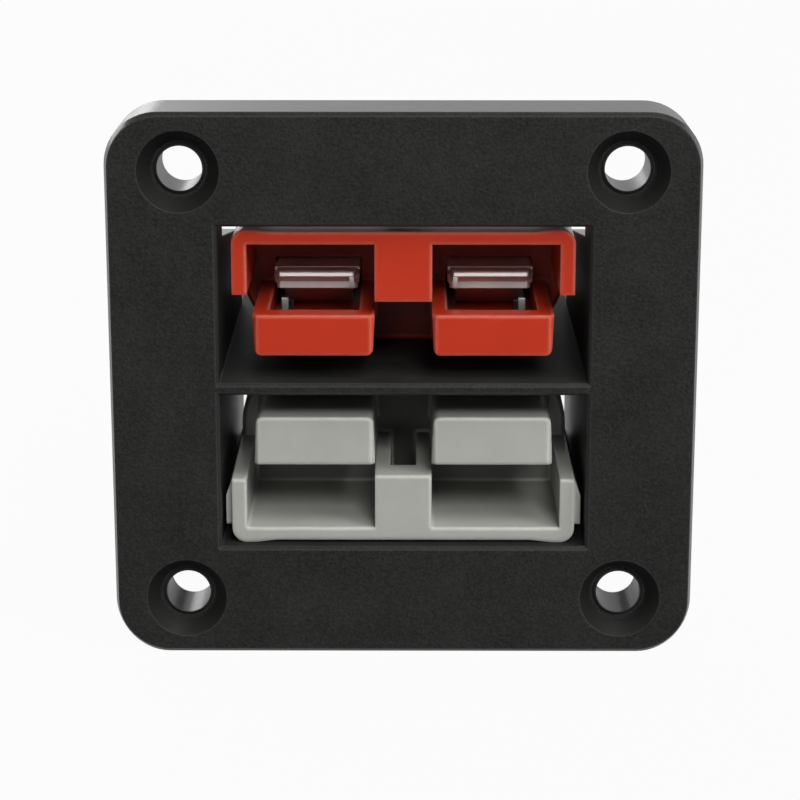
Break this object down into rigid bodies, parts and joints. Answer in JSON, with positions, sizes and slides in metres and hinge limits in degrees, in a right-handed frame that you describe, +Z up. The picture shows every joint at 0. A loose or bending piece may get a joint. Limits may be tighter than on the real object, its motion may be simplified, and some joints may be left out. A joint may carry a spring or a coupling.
{
  "type": "dual power socket panel",
  "caption": "Flush-mount bezel with a sleeve that holds a pair of genderless high-current connectors, the upper one hood up and the lower one turned over.",
  "frame": {"origin": "centre of the screw pattern, in the plane of the bezel's back face that lies against the panel", "axes": "+X right and +Z up as seen from the front, +Y into the panel along the sleeve, so the front face looks along -Y"},
  "size_m": [0.06, 0.0491, 0.057],
  "materials": {
    "bezel_plastic": "fine spark-eroded grain, matte",
    "red_plastic": "smooth satin polycarbonate",
    "grey_plastic": "smooth satin polycarbonate",
    "plated_copper": "silver plated, bright",
    "spring_steel": "rolled stainless strip",
    "zinc_steel": "bright zinc plated"
  },
  "bodies": {
    "root": {"bezel_housing": "bezel_plastic", "red_connector_housing": "red_plastic", "grey_connector_housing": "grey_plastic", "red_contact_left": "plated_copper", "red_contact_right": "plated_copper", "grey_contact_left": "plated_copper", "grey_contact_right": "plated_copper", "red_contact_spring_left": "spring_steel", "red_contact_spring_right": "spring_steel", "grey_contact_spring_left": "spring_steel", "grey_contact_spring_right": "spring_steel", "retaining_bolt_front": "zinc_steel", "retaining_bolt_rear": "zinc_steel", "head_washer_front": "zinc_steel", "head_washer_rear": "zinc_steel", "nut_washer_front": "zinc_steel", "nut_washer_rear": "zinc_steel", "spring_washer_front": "zinc_steel", "spring_washer_rear": "zinc_steel", "hexagon_nut_front": "zinc_steel", "hexagon_nut_rear": "zinc_steel"}
  },
  "joints": []
}
